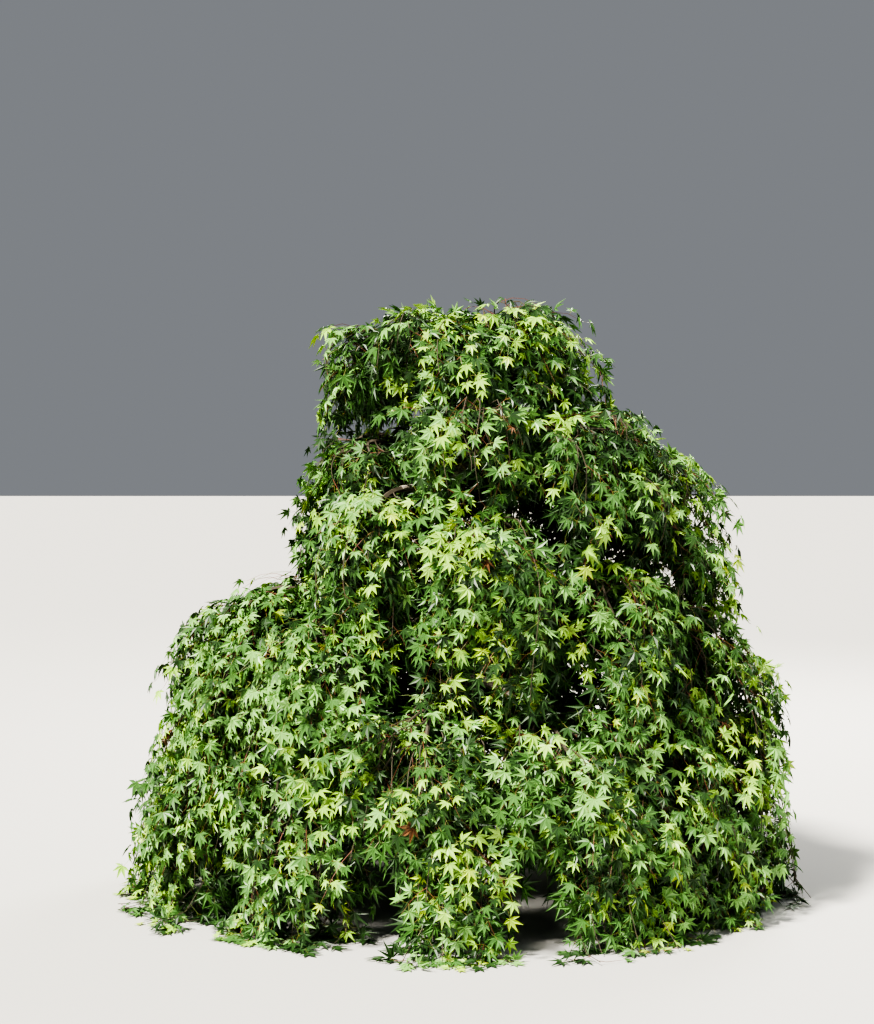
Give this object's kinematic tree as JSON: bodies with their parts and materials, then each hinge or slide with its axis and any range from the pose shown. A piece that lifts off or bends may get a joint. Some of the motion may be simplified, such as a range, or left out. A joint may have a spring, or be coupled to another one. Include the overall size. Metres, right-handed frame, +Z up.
{
  "type": "weeping japanese maple tree",
  "caption": "Weeping garden maple rooted in level ground: a short winding trunk with a flared foot, arching boughs and green foliage that cascades to the ground all round.",
  "frame": {"origin": "middle of the flat cut under the trunk, at ground level", "axes": "+Z up the trunk, -Y the side that faces the camera, +X to the camera's right; millimetres in the source, metres in the row"},
  "size_m": [2.1359, 2.1045, 1.9316],
  "materials": {
    "trunk_bark": "rough grey-brown bark with shallow furrows",
    "bough_bark": "smoother pale grey bark with small cross cracks",
    "foliage": "thin satin leaves with pointed lobes on slender green and red-brown twigs"
  },
  "bodies": {
    "root": {"trunk": "trunk_bark", "bough_top_left": "bough_bark", "bough_top_front_left": "bough_bark", "bough_top_front_right": "bough_bark", "bough_top_right": "bough_bark", "bough_top_back": "bough_bark", "bough_shoulder_left": "bough_bark", "bough_shoulder_front": "bough_bark", "bough_shoulder_front_right": "bough_bark", "bough_shoulder_right": "bough_bark", "bough_shoulder_back_right": "bough_bark", "bough_shoulder_back": "bough_bark", "bough_shoulder_back_left": "bough_bark", "bough_waist_left": "bough_bark", "bough_waist_front": "bough_bark", "bough_waist_right": "bough_bark", "bough_skirt_left": "bough_bark", "bough_skirt_left_front": "bough_bark", "bough_skirt_front": "bough_bark", "bough_skirt_front_right": "bough_bark", "bough_skirt_right_front": "bough_bark", "bough_skirt_right": "bough_bark", "bough_skirt_right_back": "bough_bark", "bough_skirt_back_right": "bough_bark", "bough_skirt_back": "bough_bark", "bough_skirt_back_left": "bough_bark", "foliage_top_left": "foliage", "foliage_top_front_left": "foliage", "foliage_top_front_right": "foliage", "foliage_top_right": "foliage", "foliage_top_back": "foliage", "foliage_shoulder_left": "foliage", "foliage_shoulder_front": "foliage", "foliage_shoulder_front_right": "foliage", "foliage_shoulder_right": "foliage", "foliage_shoulder_back_right": "foliage", "foliage_shoulder_back": "foliage", "foliage_shoulder_back_left": "foliage", "foliage_waist_left": "foliage", "foliage_waist_front": "foliage", "foliage_waist_right": "foliage", "foliage_skirt_left": "foliage", "foliage_skirt_left_front": "foliage", "foliage_skirt_front": "foliage", "foliage_skirt_front_right": "foliage", "foliage_skirt_right_front": "foliage", "foliage_skirt_right": "foliage", "foliage_skirt_right_back": "foliage", "foliage_skirt_back_right": "foliage", "foliage_skirt_back": "foliage", "foliage_skirt_back_left": "foliage"}
  },
  "joints": []
}
